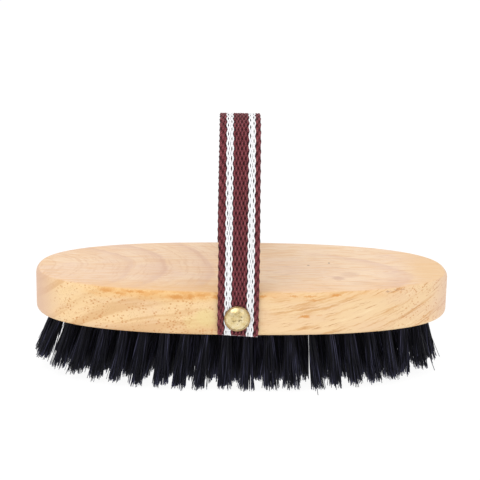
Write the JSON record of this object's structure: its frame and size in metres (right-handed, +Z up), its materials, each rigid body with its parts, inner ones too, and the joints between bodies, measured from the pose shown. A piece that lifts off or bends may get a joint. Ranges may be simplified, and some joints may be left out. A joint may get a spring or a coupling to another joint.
{
  "type": "body dry brush",
  "caption": "Oval wooden body brush with stiff dark bristle tufts below and a striped webbing hand strap nailed across it by two brass domes.",
  "frame": {"origin": "centre of the brush's footprint, in the plane of the trimmed bristle tips", "axes": "+X along the oval stock, +Y across it from the front nail to the back nail, +Z up through the strap's loop"},
  "size_m": [0.2094, 0.109, 0.13],
  "materials": {
    "stock_wood": "fine-sanded pale hardwood, unvarnished",
    "strap_webbing": "plain-woven cotton webbing, burgundy with white stripes",
    "nail_brass": "polished, slightly worn",
    "nail_steel": "bright drawn",
    "bristle": "black with a faint blue sheen",
    "anchor_wire": "flat wire"
  },
  "bodies": {
    "brush": {"stock": "stock_wood", "front_nail_cap": "nail_brass", "front_nail_shank": "nail_steel", "back_nail_cap": "nail_brass", "back_nail_shank": "nail_steel", "tufts_ring_1": "bristle", "tufts_ring_2": "bristle", "tufts_ring_3": "bristle", "tufts_ring_4": "bristle", "tufts_centre_row": "bristle", "tuft_anchors_ring_1": "anchor_wire", "tuft_anchors_ring_2": "anchor_wire", "tuft_anchors_ring_3": "anchor_wire", "tuft_anchors_ring_4": "anchor_wire", "tuft_anchors_centre_row": "anchor_wire"},
    "strap": {"hand_strap": "strap_webbing"}
  },
  "joints": [
    {"name": "strap_swing", "type": "hinge", "parent": "brush", "child": "strap", "pos_m": [-0.0039, 0, 0.0372], "axis": [0, 1, 0], "range_deg": [-45, 38]}
  ]
}
